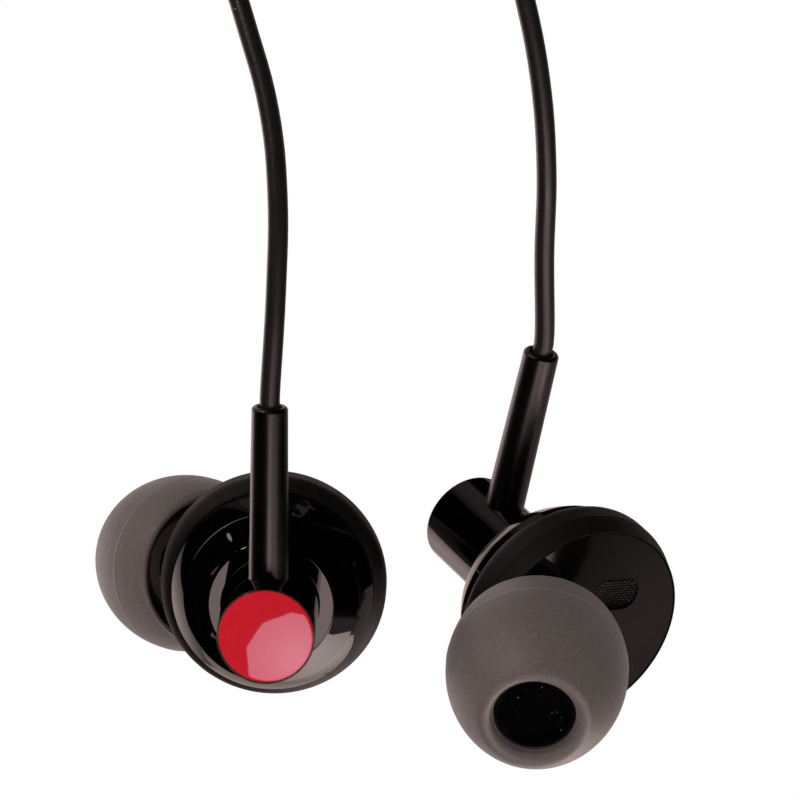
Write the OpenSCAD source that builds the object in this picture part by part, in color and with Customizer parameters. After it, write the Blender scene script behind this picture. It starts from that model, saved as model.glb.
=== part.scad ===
// Wired in-ear earphones: two angled-nozzle earpieces on thin leads that join
// at a splitter, a main cord wound into a coil, and a stereo plug.
//
// Each earpiece is drawn in its own frame: the origin is the centre of the soft
// ring's front face, +Z runs back to the coloured end cap, +Y up the stem, and
// the nozzle leans towards -X. The right earpiece is the mirror image.
// The whole set hangs from a peg at the origin, +Z up, seen from -Y.

/* [Housing] */
// Outer diameter of the housing band that carries the soft ring
housing_d = 14.2; // [13.8:0.1:15]
// Depth of the housing from the ring's front face to the shoulder
housing_w = 4.8; // [4.6:0.1:6]
// Wall thickness of the rear shell
shell_wall = 0.8; // [0.6:0.05:1]
// Diameter of the crisp edge where the shoulder meets the flared back
shoulder_d = 12.2; // [11.6:0.1:12.8]
// Distance from the housing band back to the shoulder's edge
shoulder_h = 1.3; // [1:0.1:1.8]
// Diameter of the flat collar round the foot of the barrel
collar_d = 8.9; // [8.2:0.1:9.6]
// Distance from the shoulder's edge back to the collar
collar_h = 2.0; // [1.6:0.1:2.6]
// Outer diameter of the barrel
barrel_d = 6.8; // [6.4:0.1:7.4]
// Length of the barrel behind the collar
barrel_l = 8.1; // [7.4:0.1:10]
// Wall thickness of the barrel
barrel_wall = 0.7; // [0.5:0.05:0.9]
// Rim of the barrel left round the end cap
cap_rim = 0.12; // [0.1:0.02:0.3]
// Thickness of the end cap's edge
cap_t = 0.5; // [0.4:0.05:0.8]
// Height of the end cap's dome above its edge
cap_dome = 0.15; // [0.05:0.05:0.3]

/* [Soft ring] */
// Thickness of the soft ring over the housing
ring_t = 0.9; // [0.6:0.05:1.3]
// Width of the soft ring along the housing
ring_w = 4.0; // [3.8:0.1:4.4]
// Radius of the ring's rear outer edge
ring_rear_r = 0.8; // [0.4:0.1:0.85]
// Length of the sloping front shoulder of the ring
ring_front_l = 1.4; // [1.1:0.1:2]

/* [Front cover] */
// How far the cover's rim stands out past the housing
cover_lip = 0.3; // [0.2:0.05:0.45]
// Thickness of the cover's rim
cover_t = 1.0; // [0.8:0.1:1.2]
// Height of the cover's dome above its rim
cover_dome = 0.8; // [0.5:0.1:1.2]
// Length of the oblong vent in the cover
vent_l = 3.8; // [3:0.1:4.4]
// Width of the oblong vent
vent_w = 2.4; // [1.8:0.1:2.8]
// Vent centre on the side away from the nozzle
vent_x = 1.7; // [1.5:0.1:2]
// Vent centre towards the stem
vent_y = 2.8; // [2.4:0.1:3]

/* [Nozzle] */
// Angle between the nozzle and the housing axis
nozzle_angle = 32; // [28:0.5:36]
// Turn of the nozzle's lean away from the stem's side
nozzle_turn = 11; // [0:1:16]
// Sideways offset of the nozzle where it leaves the ring's front face
nozzle_offset = 3.65; // [3.2:0.05:3.9]
// Outer diameter of the nozzle tube
nozzle_d = 5.0; // [4.8:0.1:5.3]
// Bore of the nozzle tube
nozzle_bore = 4.2; // [3.6:0.1:4.2]
// Diameter of the barb that holds the ear tip
barb_d = 5.6; // [5.4:0.1:5.7]
// Diameter of the shoulder that the ear tip seats against
nozzle_stop_d = 6.8; // [6.6:0.1:7.2]
// Distance along the nozzle to that shoulder
nozzle_stop = 4.2; // [4:0.1:4.6]
// Distance along the nozzle to its open end
nozzle_end = 10.9; // [10.5:0.1:11]

/* [Ear tip] */
// Largest diameter of the silicone ear tip
tip_d = 12.65; // [12:0.05:13.2]
// Length of the ear tip
tip_l = 9.9; // [9.4:0.1:10.4]
// Distance along the nozzle to the rim of the ear tip's skirt
tip_start = 1.8; // [1.6:0.1:2.2]
// Distance from the skirt's rim to the widest place
tip_widest = 3.5; // [2.6:0.1:4]
// Sound hole at the front of the ear tip
tip_hole_d = 5.8; // [5:0.1:6]
// Radius of the rolled lip round the sound hole
tip_lip_r = 0.6; // [0.4:0.05:0.7]
// Wall thickness of the dome
tip_wall = 0.6; // [0.45:0.05:0.8]
// Wall thickness of the sleeve that grips the nozzle
sleeve_wall = 0.8; // [0.6:0.05:1]

/* [Stem] */
// Distance from the end of the barrel to the stem's centre
stem_from_end = 3.9; // [3.4:0.1:4.4]
// Distance from the barrel's centre to the mouth of the stem
stem_l = 15.4; // [12:0.1:18]
// Diameter of the stem at its mouth
stem_mouth_d = 2.52; // [2.4:0.02:2.8]
// Diameter of the stem at the barrel
stem_root_d = 2.84; // [2.7:0.02:3.1]
// Diameter of the spigot that passes through the barrel's wall
spigot_d = 2.2; // [2:0.05:2.4]

/* [Driver] */
// Diameter of the sound coil
coil_d = 6.6; // [6.4:0.1:7]
// Gap between the sound coil and the steel on either side of it
air_gap = 0.3; // [0.2:0.05:0.4]
// Wall thickness of the steel cup round the magnet
yoke_wall = 0.6; // [0.4:0.1:0.8]

/* [Cords] */
// Diameter of each earpiece's lead
lead_d = 1.4; // [1.2:0.05:1.45]
// Diameter of the main cord
main_d = 2.0; // [1.8:0.05:2.05]
// Radius of the outer turns of each lead's coil
lead_coil_r = 12.5; // [12:0.1:13.5]
// Radius of the outer turns of the main cord's coil
main_coil_r = 14.6; // [14:0.1:16]
// Space between neighbouring turns of a coil
wire_gap = 0.45; // [0.45:0.05:0.6]

/* [Splitter and plug] */
// Length of the splitter's body
splitter_l = 8.0; // [7:0.5:12]
// Width of the splitter
splitter_w = 5.6; // [5.2:0.1:7]
// Thickness of the splitter
splitter_t = 3.4; // [3:0.1:4.5]
// Length of the strain reliefs on the splitter and the plug
relief_l = 7.0; // [5:0.5:10]
// Diameter of the plug's handle
handle_d = 6.4; // [5.5:0.1:8]
// Length of the plug's handle
handle_l = 15.0; // [12:0.5:20]
// Diameter of the plug's contacts
pin_d = 3.5; // [3.45:0.01:3.55]
// Length of the plug's contacts
pin_l = 14.0; // [13:0.1:15]

/* [Hidden] */
$fn = 72;

// Clearance between pieces that are pressed or glued together
seat_gap = 0.02;
// Clearance of a sliding fit, on the radius
slide_gap = 0.05;
// Gap between soft and moulded pieces
trim_gap = 0.1;
// How far a cutting shape runs past the face that it cuts
past = 1;

// Where each earpiece hangs, and how it is turned about X, Y and Z
left_at = [-6.9, 5, -76.6];
left_turn = [104, 1, -1];
right_at = [14.8, -3, -80.1];
right_turn = [63, 2.5, -148];

// Stations along the housing, counted back from the ring's front face
shoulder_z = housing_w + shoulder_h;
collar_z = shoulder_z + collar_h;
barrel_end = collar_z + barrel_l;
stem_z = barrel_end - stem_from_end;
shell_bore_d = housing_d - 2 * shell_wall;
barrel_bore_d = barrel_d - 2 * barrel_wall;
ring_d = housing_d + 2 * ring_t;
cover_d = housing_d + 2 * cover_lip;
driver_d = shell_bore_d - 2 * trim_gap;
cover_z = 0.05;
cover_back = cover_z + cover_t;
cover_bore_d = shell_bore_d - 1.6;

// The meshes, and the ledges that they lie on
mesh_t = 0.2;
nozzle_ledge = 0.3;
vent_ledge = 0.35;
vent_ledge_z = -0.25;

// Stations along the nozzle
tip_end = tip_start + tip_l;
tip_bore_d = barb_d + 2 * slide_gap;
sleeve_start = nozzle_stop + trim_gap;
sleeve_end = nozzle_end + trim_gap;

// The driver: its film lies between the cover's spigot and the frame
spigot_l = 0.7;
film_t = 0.12;
driver_z = cover_back + spigot_l + film_t + seat_gap;
driver_t = 2.0;
yoke_z = driver_z + 0.7;
yoke_back = 5.0;
yoke_d = coil_d + 2 * (air_gap + yoke_wall);
magnet_t = 1.4;
magnet_z = yoke_back - yoke_wall - magnet_t;
plate_t = 0.6;
board_t = 0.3;

// Turns from one angle, clockwise, to another after so many whole turns
function turns_between(from, to, whole) = (from - to) / 360 + whole;

// The coil's centre lies below the peg that its inner turns rest on
lead_pitch = lead_d + wire_gap;
main_pitch = main_d + wire_gap;
main_layers = 4;
main_turns = turns_between(180, 90, 12);
coil_z = main_d / 2 - (main_coil_r - main_turns / main_layers * main_pitch);
lead_layer_y = [for (i = [0:3]) -9 + i * lead_pitch];
main_layer_y = lead_layer_y[3] + (lead_d + main_d) / 2 + wire_gap;
lead_exit_angle = 70;

// The splitter hangs beside the coil, between the layers where the leads end
splitter_at = [15.9, (lead_layer_y[1] + lead_layer_y[2]) / 2, -4.5];
splitter_exit = splitter_at - [0, 0, splitter_l + relief_l / 2];

// The plug lies on top of the coil, where the main cord leaves it
plug_at = [9, main_layer_y + (main_layers - 1) * main_pitch, coil_z + main_coil_r];
handle_x = relief_l;
pin_x = relief_l + handle_l;
tip_contact_l = 2.9;
ring_contact_l = 1.7;
insulator_l = 0.5;
sleeve_contact_l = pin_l - tip_contact_l - ring_contact_l - 2 * insulator_l;

// ---------- geometry helpers ----------

function unit(v) = v / norm(v);

// A vector turned about X, then Y, then Z
function turn_x(v, a) = [v.x, v.y * cos(a) - v.z * sin(a), v.y * sin(a) + v.z * cos(a)];
function turn_y(v, a) = [v.x * cos(a) + v.z * sin(a), v.y, v.z * cos(a) - v.x * sin(a)];
function turn_z(v, a) = [v.x * cos(a) - v.y * sin(a), v.x * sin(a) + v.y * cos(a), v.z];
function turned(v, a) = turn_z(turn_y(turn_x(v, a.x), a.y), a.z);

// Radius of the sphere whose cap has radius r and height h
function dome_radius(r, h) = (r * r + h * h) / (2 * h);

// Centre of the circle of radius r through a and b, on the left of the way from a to b
function arc_centre(a, b, r) =
  let (half = (b - a) / 2, side = unit([-half.y, half.x]))
  a + half + side * sqrt(r * r - half * half);

// A smooth curve through the points: a Catmull-Rom spline with n steps a span
function spline(p, n) = concat(
  [for (i = [0:len(p) - 2], s = [0:n - 1])
    let (
      t = s / n,
      a = p[max(i - 1, 0)], b = p[i], c = p[i + 1], d = p[min(i + 2, len(p) - 1)]
    )
    b + (c - a) * t / 2 + (2 * a - 5 * b + 4 * c - d) * t * t / 2
      + (3 * b - a - 3 * c + d) * t * t * t / 2],
  [p[len(p) - 1]]
);

// Least distance between two stretches of a path that lie more than skip points apart
function self_distance(p, skip) =
  min([for (i = [0:len(p) - skip - 2], j = [i + skip + 1:len(p) - 1]) norm(p[i] - p[j])]);

// A closed tube of the given diameter along a path, square at both ends
module tube(path, d, sides) {
  last = len(path) - 1;
  points = [for (i = [0:last])
    let (
      along = unit(path[min(i + 1, last)] - path[max(i - 1, 0)]),
      out = unit(cross(along, [0, 1, 0])),
      up = cross(out, along)
    )
    for (k = [0:sides - 1])
      let (a = 360 * k / sides)
      path[i] + (out * cos(a) + up * sin(a)) * d / 2];
  walls = [for (i = [0:last - 1], k = [0:sides - 1])
    let (a = i * sides + k, b = i * sides + (k + 1) % sides)
    each [[a, b, b + sides], [a, b + sides, a + sides]]];
  ends = [for (k = [1:sides - 2])
    each [[0, k + 1, k], [last * sides, last * sides + k, last * sides + k + 1]]];
  polyhedron(points = points, faces = concat(walls, ends));
}

// ---------- wound cord ----------

// Rings of the tube in one loop
loop_rings = 24;

// Loops piled in layers that spiral in and out again, the first layer at y and the
// others a step further on each. The path turns clockwise seen from -Y, and climbs
// a layer in the half turn where the spiral reverses.
function wound(start, turns, layers, outer_r, y, step, d) =
  let (
    a_layer = turns / layers,
    count = round(turns * loop_rings),
    loops = [for (i = [0:count])
      let (
        u = turns * i / count,
        layer = min(floor(u / a_layer), layers - 1),
        f = u / a_layer - layer,
        inwards = layer % 2 == 0 ? f : 1 - f,
        r = outer_r - a_layer * abs(step) * inwards,
        climbs = [for (k = [1:layers - 1]) min(max((u - a_layer * k) / 0.5 + 0.5, 0), 1)],
        rise = climbs * [for (k = [1:layers - 1]) 1],
        a = start - 360 * u
      )
      [r * cos(a), y + rise * step, coil_z + r * sin(a)]],
    first = [sin(start), 0, -cos(start)],
    end = start - 360 * turns,
    final = [sin(end), 0, -cos(end)]
  )
  concat([loops[0] - first * d], loops, [loops[count] + final * d]);

left_coil_path = wound(180, turns_between(180, lead_exit_angle, 3), 2, lead_coil_r,
  lead_layer_y[3], -lead_pitch, lead_d);
right_coil_path = wound(270, turns_between(270, lead_exit_angle, 3), 2, lead_coil_r,
  lead_layer_y[0], lead_pitch, lead_d);
main_coil_path = wound(180, main_turns, main_layers, main_coil_r,
  main_layer_y, main_pitch, main_d);

module wound_cord(name, path, d) {
  half_loop = loop_rings / 2;
  echo(str(name, ": least gap between turns ", self_distance(path, half_loop) - d, " mm"));
  color("#1b1715") tube(path, d, 6);
}

// ---------- routes of the free cords ----------

// Mouth of a stem and the way the lead leaves it
function stem_mouth(at, turn, side) = at + turned([0, stem_l, stem_z], turn);
function stem_way(turn) = turned([0, 1, 0], turn);

left_mouth = stem_mouth(left_at, left_turn);
right_mouth = stem_mouth(right_at, right_turn);

left_route = concat(
  [left_mouth, left_mouth + stem_way(left_turn) * lead_d / 2],
  [
    [-6.5, -12.2, -56.5],
    [-6.4, -12.4, -50.2],
    [-7.0, -11.6, -44.3],
    [-8.7, -10.2, -38.0],
    [-10.7, -8.2, -31.5],
    [-11.9, -6.1, -25.0],
    [-12.4, -4.4, -18.2],
    [-12.5, -3.5, -11.8]
  ],
  [left_coil_path[0] - [0, 0, lead_d], left_coil_path[0]]
);

right_route = concat(
  [right_mouth, right_mouth + stem_way(right_turn) * lead_d / 2],
  [
    [12.1, -3.2, -54.0],
    [12.2, -5.6, -48.0],
    [11.7, -7.3, -41.8],
    [10.5, -8.4, -35.8],
    [9.1, -9.0, -30.6],
    [7.2, -9.1, -25.6],
    [4.4, -9.0, -20.9]
  ],
  [right_coil_path[0] + [lead_d, 0, 0], right_coil_path[0]]
);

function to_splitter(path, y) =
  let (end = path[len(path) - 1], way = unit(end - path[len(path) - 2]))
  [
    end,
    end + way * lead_d,
    [10.9, y, 3.0],
    [14.3, y, 0.6],
    [splitter_at.x, y, splitter_at.z + lead_d],
    [splitter_at.x, y, splitter_at.z]
  ];

left_end_route = to_splitter(left_coil_path, lead_layer_y[2]);
right_end_route = to_splitter(right_coil_path, lead_layer_y[1]);

main_start_route = concat(
  [splitter_exit, splitter_exit - [0, 0, main_d]],
  [
    [14.6, -5.9, -22.2],
    [11.2, -4.9, -26.4],
    [6.3, -3.6, -29.2],
    [0.8, -2.4, -30.0],
    [-4.9, -1.6, -28.6],
    [-9.6, -1.3, -25.2],
    [-12.8, -1.3, -20.0],
    [-14.3, -1.3, -14.6]
  ],
  [main_coil_path[0] - [0, 0, main_d], main_coil_path[0]]
);

main_end_route = [
  main_coil_path[len(main_coil_path) - 1],
  [(main_coil_path[len(main_coil_path) - 1].x + plug_at.x) / 2, plug_at.y, plug_at.z],
  plug_at
];

// ---------- placing ----------

module left_earpiece() {
  translate(left_at) rotate(left_turn) children();
}

module right_earpiece() {
  translate(right_at) rotate(right_turn) mirror([1, 0, 0]) children();
}

// Along the nozzle, +Z outwards from the ring's front face
module on_nozzle() {
  translate([-nozzle_offset, 0, 0]) rotate([0, 180 + nozzle_angle, nozzle_turn]) children();
}

// Along the stem, +Z outwards from the barrel's centre
module on_stem() {
  translate([0, 0, stem_z]) rotate([-90, 0, 0]) children();
}

// ---------- housing ----------

// Outline of the shell's outside: band, rounded shoulder, flared back, collar, barrel
module shell_outline() {
  band = [housing_d / 2, housing_w];
  edge = [shoulder_d / 2, shoulder_z];
  foot = [collar_d / 2, collar_z];
  shoulder_r = 1.7;
  flare_r = 3.2;
  difference() {
    union() {
      polygon([
        [0, cover_back], [housing_d / 2, cover_back], band, edge, foot,
        [barrel_d / 2, collar_z], [barrel_d / 2, barrel_end], [0, barrel_end]
      ]);
      intersection() {
        translate(arc_centre(band, edge, shoulder_r)) circle(r = shoulder_r);
        polygon([band, band + [1, 0], edge + [1, 1], edge]);
      }
    }
    translate(arc_centre(foot, edge, flare_r)) circle(r = flare_r);
  }
}

// The bore that holds the driver, narrowing behind it to the barrel's
module shell_hollow() {
  throat = collar_z - shell_wall;
  bore_end = driver_z + driver_t + 0.75;
  front = cover_back - past;
  back = barrel_end + past;
  rotate_extrude() polygon([
    [0, front], [shell_bore_d / 2, front], [shell_bore_d / 2, bore_end],
    [barrel_bore_d / 2, throat], [barrel_bore_d / 2, back], [0, back]
  ]);
}

module cap_seat() {
  translate([0, 0, barrel_end - cap_t - seat_gap])
    cylinder(d = barrel_d - 2 * cap_rim + 2 * seat_gap, h = cap_t + past);
}

module rear_shell() {
  color("#17130f") difference() {
    rotate_extrude() shell_outline();
    shell_hollow();
    cap_seat();
    on_stem() cylinder(d = spigot_d + 2 * seat_gap, h = barrel_d);
  }
}

module end_cap() {
  r = barrel_d / 2 - cap_rim;
  base = barrel_end - cap_t;
  plug_l = 0.6;
  plug_wall = 0.6;
  plug_r = barrel_bore_d / 2 - seat_gap;
  color("#c01828") {
    intersection() {
      translate([0, 0, base]) cylinder(r = r, h = cap_t + cap_dome);
      translate([0, 0, base + cap_t + cap_dome - dome_radius(r, cap_dome)])
        sphere(r = dome_radius(r, cap_dome), $fn = 180);
    }
    translate([0, 0, base - plug_l]) difference() {
      cylinder(r = plug_r, h = plug_l);
      translate([0, 0, -past]) cylinder(r = plug_r - plug_wall, h = plug_l + past);
    }
  }
}

module stem() {
  lip = 0.18;
  flare_l = 0.8;
  flare = 0.25;
  spigot_in = 0.1;
  lead_hole_d = lead_d + 2 * slide_gap;
  color("#1c1714") difference() {
    union() {
      difference() {
        on_stem() rotate_extrude() {
          polygon([
            [0, 0], [stem_root_d / 2, 0], [stem_mouth_d / 2, stem_l - lip],
            [stem_mouth_d / 2 - lip, stem_l], [0, stem_l]
          ]);
          translate([stem_mouth_d / 2 - lip, stem_l - lip]) circle(r = lip);
        }
        translate([0, 0, stem_z - stem_root_d])
          cylinder(d = barrel_d, h = 2 * stem_root_d);
      }
      on_stem() translate([0, 0, barrel_bore_d / 2 - spigot_in])
        cylinder(d = spigot_d, h = barrel_wall + 3 * spigot_in);
    }
    on_stem() cylinder(d = lead_hole_d, h = stem_l + past);
    on_stem() translate([0, 0, stem_l - flare_l])
      cylinder(d1 = lead_hole_d, d2 = lead_d + 2 * flare, h = flare_l + 0.01);
  }
}

// The lead inside the stem, with the knot that stops it pulling out and its two conductors
module lead_anchor() {
  knot_r = 1.15;
  knot_at = barrel_bore_d / 2 - 2 * trim_gap - knot_r;
  wire_d = 0.4;
  color("#201a17") {
    on_stem() translate([0, 0, knot_at]) {
      sphere(r = knot_r);
      cylinder(d = lead_d, h = stem_l - knot_at);
    }
    for (x = [-wire_d, wire_d])
      translate([x, knot_at, yoke_back + board_t])
        cylinder(d = wire_d, h = stem_z - yoke_back - board_t);
  }
}

module soft_ring() {
  outer = ring_d / 2;
  seat = housing_d / 2 + seat_gap;
  lip = cover_d / 2 + trim_gap;
  lip_t = 0.15;
  color("#2b2421") rotate_extrude() difference() {
    union() {
      polygon([
        [seat, 0], [lip + lip_t, 0], [outer, ring_front_l], [outer, ring_w - ring_rear_r],
        [outer - ring_rear_r, ring_w], [seat, ring_w]
      ]);
      translate([outer - ring_rear_r, ring_w - ring_rear_r]) circle(r = ring_rear_r);
    }
    translate([0, -past]) square([lip, cover_back + seat_gap + past]);
    square([seat, ring_w]);
  }
}

// ---------- front cover and nozzle ----------

// The oblong of the vent, seen along the housing, grown by a margin
module vent_outline(margin) {
  r = vent_w / 2 + margin;
  reach = (vent_l - vent_w) / 2;
  translate([vent_x, vent_y]) {
    square([2 * reach, 2 * r], center = true);
    for (side = [-1, 1]) translate([side * reach, 0]) circle(r = r);
  }
}

// The domed disc and the spigot that fits the shell's bore
module cover_disc() {
  dome_r = dome_radius(cover_d / 2, cover_dome);
  intersection() {
    translate([0, 0, cover_z + dome_r - cover_dome]) sphere(r = dome_r, $fn = 180);
    translate([0, 0, cover_z - cover_dome]) cylinder(d = cover_d, h = cover_t + cover_dome);
  }
  translate([0, 0, cover_back]) difference() {
    cylinder(d = shell_bore_d - 2 * seat_gap, h = spigot_l);
    translate([0, 0, -past]) cylinder(d = cover_bore_d, h = spigot_l + 2 * past);
  }
}

// The cone that carries the nozzle: it grows out of the disc and stops short of its rim
module nozzle_foot() {
  root = 3;
  root_d = nozzle_stop_d + 1.8;
  rim_margin = 0.15;
  rim_edge = 0.3;
  intersection() {
    on_nozzle() translate([0, 0, -root])
      cylinder(d1 = root_d, d2 = nozzle_stop_d, h = nozzle_stop + root);
    translate([0, 0, cover_z + rim_edge - cover_d])
      cylinder(d = cover_d - 2 * rim_margin, h = cover_d);
  }
}

module nozzle_tube() {
  barb_l = 0.9;
  ramp = 0.5;
  bevel = 0.2;
  on_nozzle() rotate_extrude() polygon([
    [0, 0], [nozzle_d / 2, 0], [nozzle_d / 2, nozzle_end - barb_l - ramp],
    [barb_d / 2, nozzle_end - barb_l], [barb_d / 2, nozzle_end - bevel],
    [barb_d / 2 - bevel, nozzle_end], [0, nozzle_end]
  ]);
}

module front_cover() {
  skin = 0.35;
  root = 2;
  color("#1d1815") difference() {
    union() {
      cover_disc();
      nozzle_foot();
      nozzle_tube();
    }
    translate([0, 0, cover_z + skin]) cylinder(d = cover_bore_d, h = cover_t);
    on_nozzle() translate([0, 0, -root]) cylinder(d = nozzle_bore, h = nozzle_end + root + past);
    on_nozzle() translate([0, 0, nozzle_end - mesh_t - seat_gap])
      cylinder(d = nozzle_bore + 2 * nozzle_ledge, h = mesh_t + past);
    translate([0, 0, vent_ledge_z - cover_d]) linear_extrude(cover_d) vent_outline(0);
    translate([0, 0, vent_ledge_z - past]) linear_extrude(cover_t + past) vent_outline(-vent_ledge);
  }
}

module nozzle_mesh() {
  color("#0d0c0b") on_nozzle() translate([0, 0, nozzle_end - mesh_t])
    cylinder(d = nozzle_bore + 2 * (nozzle_ledge - seat_gap), h = mesh_t);
}

module vent_mesh() {
  color("#0d0c0b") translate([0, 0, vent_ledge_z - mesh_t])
    linear_extrude(mesh_t) vent_outline(-seat_gap);
}

// ---------- ear tip ----------

// Half of the tip's section: a thin dome that rolls in at the sound hole, with the
// sleeve that grips the nozzle inside it. The dome's arc is level at the widest
// place and runs into the lip without a kink.
module tip_section() {
  widest = [tip_d / 2, tip_start + tip_widest];
  lip = [tip_hole_d / 2 + tip_lip_r, tip_end - tip_lip_r];
  rise = lip.y - widest.y;
  reach = widest.x - tip_lip_r - lip.x;
  dome_r = tip_lip_r + (rise * rise + reach * reach) / (2 * reach);
  dome_at = [widest.x - dome_r, widest.y];
  sleeve_r = tip_bore_d / 2 + sleeve_wall;
  skirt_t = 0.5;
  rim_x = dome_at.x + sqrt(dome_r * dome_r - tip_widest * tip_widest) - skirt_t / 2;
  rim_y = tip_start + skirt_t / 2;
  cavity_end = tip_end - 2;
  difference() {
    union() {
      difference() {
        intersection() {
          translate(dome_at) circle(r = dome_r, $fn = 180);
          polygon([[0, rim_y], [tip_d, rim_y], dome_at + 1.5 * (lip - dome_at), lip, [0, lip.y]]);
        }
        intersection() {
          translate(dome_at) circle(r = dome_r - tip_wall, $fn = 180);
          translate([sleeve_r, 0]) square([tip_d, cavity_end]);
        }
        square([sleeve_r, sleeve_start]);
      }
      translate([rim_x, rim_y]) circle(d = skirt_t);
      translate([0, sleeve_end]) square([lip.x, tip_end - sleeve_end]);
      translate(lip) circle(r = tip_lip_r);
    }
    square([sleeve_r, sleeve_start]);
    square([tip_bore_d / 2, sleeve_end]);
    translate([0, sleeve_end]) square([tip_hole_d / 2, tip_l]);
    difference() {
      translate([0, lip.y]) square([lip.x, tip_l]);
      translate(lip) circle(r = tip_lip_r);
    }
  }
}

module ear_tip() {
  color("#6e605e") on_nozzle() rotate_extrude() tip_section();
}

// ---------- driver ----------

module driver_frame() {
  rim = 0.7;
  web = 0.7;
  color("#303234") translate([0, 0, driver_z]) difference() {
    cylinder(d = driver_d, h = driver_t);
    translate([0, 0, -past]) cylinder(d = driver_d - 2 * rim, h = driver_t - web + past);
    translate([0, 0, -past]) cylinder(d = yoke_d + 2 * seat_gap, h = driver_t + 2 * past);
  }
}

// A film ring with a dome over the sound coil
module diaphragm() {
  dome_h = 0.6;
  glue = 0.2;
  dome_r = dome_radius(coil_d / 2, dome_h);
  dome_z = driver_z - dome_h + dome_r;
  color("#a8a49c") {
    difference() {
      translate([0, 0, driver_z - film_t]) cylinder(d = driver_d - 2 * glue, h = film_t);
      translate([0, 0, driver_z - past]) cylinder(d = coil_d - 2 * glue, h = 2 * past);
    }
    intersection() {
      difference() {
        translate([0, 0, dome_z - film_t]) sphere(r = dome_r, $fn = 120);
        translate([0, 0, dome_z]) sphere(r = dome_r, $fn = 120);
      }
      translate([0, 0, driver_z - past]) cylinder(d = coil_d, h = past);
    }
  }
}

module sound_coil() {
  winding = 0.15;
  coil_l = 1.5;
  color("#b5673a") translate([0, 0, driver_z]) difference() {
    cylinder(d = coil_d, h = coil_l);
    translate([0, 0, -past]) cylinder(d = coil_d - 2 * winding, h = coil_l + 2 * past);
  }
}

module top_plate() {
  color("#8f9396") translate([0, 0, magnet_z - plate_t])
    cylinder(d = coil_d - 2 * air_gap, h = plate_t);
}

module magnet() {
  inset = 0.4;
  color("#b9bcc0") translate([0, 0, magnet_z]) cylinder(d = coil_d - 2 * inset, h = magnet_t);
}

module yoke() {
  cup_l = yoke_back - yoke_z;
  color("#7e8285") translate([0, 0, yoke_z]) difference() {
    cylinder(d = yoke_d, h = cup_l);
    translate([0, 0, -past]) cylinder(d = yoke_d - 2 * yoke_wall, h = cup_l - yoke_wall + past);
  }
}

module terminal_board() {
  board = [3.2, 3.4, board_t];
  color("#2e6b3a") translate([-board.x / 2, -1.2, yoke_back]) cube(board);
}

// ---------- splitter and plug ----------

// A block with round long edges, standing on z = 0
module oblong(w, t, h) {
  translate([-t / 2, -(w - t) / 2, 0]) cube([t, w - t, h]);
  for (side = [-1, 1]) translate([0, side * (w - t) / 2, 0]) cylinder(d = t, h = h);
}

module splitter() {
  edge = 0.4;
  cord_sleeve = 0.3;
  color("#1a1613") translate(splitter_at) mirror([0, 0, 1]) {
    oblong(splitter_w - 2 * edge, splitter_t - 2 * edge, splitter_l);
    translate([0, 0, edge]) oblong(splitter_w, splitter_t, splitter_l - 2 * edge);
    translate([0, 0, splitter_l])
      cylinder(d1 = splitter_t - 2 * edge, d2 = main_d + 2 * cord_sleeve, h = relief_l / 2);
  }
}

module on_plug() {
  translate(plug_at) rotate([0, 90, 0]) children();
}

// A tapered sleeve with grooves that let it bend
module plug_relief() {
  grooves = 4;
  step = relief_l / (grooves + 1);
  core_d = main_d + 0.6;
  color("#1a1613") on_plug() difference() {
    cylinder(d1 = main_d + 0.8, d2 = handle_d * 0.62, h = relief_l);
    for (i = [1:grooves]) translate([0, 0, i * step]) difference() {
      cylinder(d = handle_d, h = step / 3);
      translate([0, 0, -past]) cylinder(d = core_d, h = step + 2 * past);
    }
  }
}

module plug_handle() {
  edge = 0.5;
  flat = handle_d / 2 - edge;
  color("#1a1613") on_plug() translate([0, 0, handle_x]) rotate_extrude() {
    polygon([
      [0, 0], [flat, 0], [flat + edge, edge],
      [flat + edge, handle_l - edge], [flat, handle_l], [0, handle_l]
    ]);
    for (z = [edge, handle_l - edge]) translate([flat, z]) circle(r = edge);
  }
}

module contact(x, l) {
  on_plug() translate([0, 0, pin_x + x]) cylinder(d = pin_d, h = l);
}

module plug_sleeve() {
  color("#d8b25a") contact(0, sleeve_contact_l);
}

module plug_ring() {
  color("#d8b25a") contact(sleeve_contact_l + insulator_l, ring_contact_l);
}

// The first contact: a waist that a socket's spring catches, and a blunt cone
module plug_tip() {
  r = pin_d / 2;
  waist = 0.7;
  waist_r = r - 0.55;
  nose_r = 0.6;
  nose = 0.15;
  color("#d8b25a") on_plug() translate([0, 0, pin_x + pin_l - tip_contact_l]) rotate_extrude()
    polygon([
      [0, 0], [r, 0], [waist_r, waist], [r, 2 * waist],
      [nose_r, tip_contact_l - nose], [nose_r / 2, tip_contact_l], [0, tip_contact_l]
    ]);
}

module plug_insulators() {
  color("#101010") {
    contact(sleeve_contact_l, insulator_l);
    contact(sleeve_contact_l + insulator_l + ring_contact_l, insulator_l);
  }
}

// ---------- cords ----------

// A cord's path: its first and last spans are straight, and the rest is smooth
function smoothed(route, n) = concat(
  [route[0]],
  spline([for (i = [1:len(route) - 2]) route[i]], n),
  [route[len(route) - 1]]
);

module lead(route) {
  color("#1b1715") tube(smoothed(route, 2), lead_d, 8);
}

module main_cord(route) {
  color("#1b1715") tube(smoothed(route, 1), main_d, 8);
}

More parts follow.
